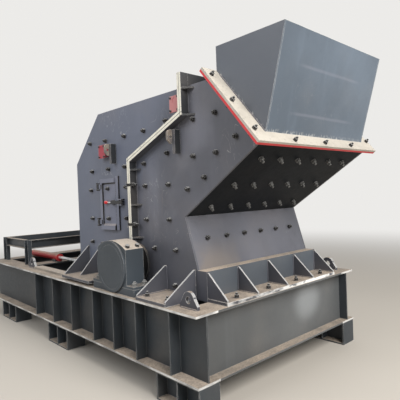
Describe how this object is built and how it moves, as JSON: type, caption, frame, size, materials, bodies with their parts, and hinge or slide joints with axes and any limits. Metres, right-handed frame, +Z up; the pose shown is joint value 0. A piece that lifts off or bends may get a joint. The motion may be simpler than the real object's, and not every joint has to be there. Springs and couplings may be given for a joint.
{
  "type": "hammer crusher",
  "caption": "Hammer crusher on a beam base, with a sloping feed hopper, bolted housing, bearing blocks and a rear housing that slides back on rails.",
  "frame": {"origin": "centre of the whole machine's footprint on the floor", "axes": "-Y faces the feed hopper's front, +Y runs back along the base to the cylinders, +X to the right seen from the front, +Z up"},
  "size_m": [2.14, 4.799, 2.628],
  "materials": {
    "slate_paint": "satin, dusty",
    "red_paint": "satin, dusty",
    "faded_red_paint": "matt, faded",
    "bright_steel": "polished",
    "rail_steel": "worn, dusty",
    "rotor_steel": "rough"
  },
  "bodies": {
    "frame": {"side_beam_left": "slate_paint", "side_beam_right": "slate_paint", "cross_beams": "slate_paint", "base_feet": "slate_paint", "slide_rails": "rail_steel", "lifting_lugs": "slate_paint", "front_side_plate_left": "slate_paint", "front_side_plate_right": "slate_paint", "under_slope_plate": "slate_paint", "lower_slope_plate": "slate_paint", "front_wall": "slate_paint", "front_top_plate": "slate_paint", "mouth_flange": "red_paint", "front_joint_flanges": "slate_paint", "front_joint_flange_top": "slate_paint", "front_foot_flange": "slate_paint", "side_foot_flanges": "slate_paint", "hopper_flange": "red_paint", "hopper_sides": "slate_paint", "hopper_end_plates": "slate_paint", "front_adjusters": "slate_paint", "bearing_pedestals": "slate_paint", "bearing_blocks": "slate_paint", "bearing_covers": "slate_paint", "cylinder_barrels": "red_paint", "barrel_mounts": "slate_paint", "stand_posts": "slate_paint", "stand_side_rails": "slate_paint", "stand_cross_rails": "slate_paint"},
    "rear_housing": {"rear_side_plate_left": "slate_paint", "rear_side_plate_right": "slate_paint", "rear_wall": "slate_paint", "rear_slope_plate": "slate_paint", "rear_top_plate": "slate_paint", "rear_joint_flanges": "slate_paint", "rear_joint_flange_top": "slate_paint", "clamp_lugs": "slate_paint", "skids": "slate_paint", "rear_adjusters": "slate_paint", "cover_plates": "faded_red_paint", "rod_lugs": "slate_paint", "piston_rods": "bright_steel", "door_frame_left": "slate_paint", "door_frame_right": "slate_paint"},
    "door_left": {"access_door_left": "slate_paint", "door_latch_left": "bright_steel"},
    "door_right": {"access_door_right": "slate_paint", "door_latch_right": "bright_steel"},
    "rotor": {"rotor": "rotor_steel", "rotor_discs": "rotor_steel", "hammers": "rotor_steel", "oil_slingers": "rail_steel"}
  },
  "joints": [
    {"name": "housing_slide", "type": "slide", "parent": "frame", "child": "rear_housing", "axis": [0, 1, 0], "range_m": [0, 0.7]},
    {"name": "door_left_hinge", "type": "hinge", "parent": "rear_housing", "child": "door_left", "pos_m": [-0.791, -0.1605, 1.469], "axis": [0, 0, -1], "range_deg": [0, 110]},
    {"name": "door_right_hinge", "type": "hinge", "parent": "rear_housing", "child": "door_right", "pos_m": [0.791, -0.1605, 1.469], "axis": [0, 0, 1], "range_deg": [0, 110]},
    {"name": "rotor_spin", "type": "hinge", "parent": "frame", "child": "rotor", "pos_m": [0, -0.7655, 0.938], "axis": [1, 0, 0], "continuous": true}
  ]
}
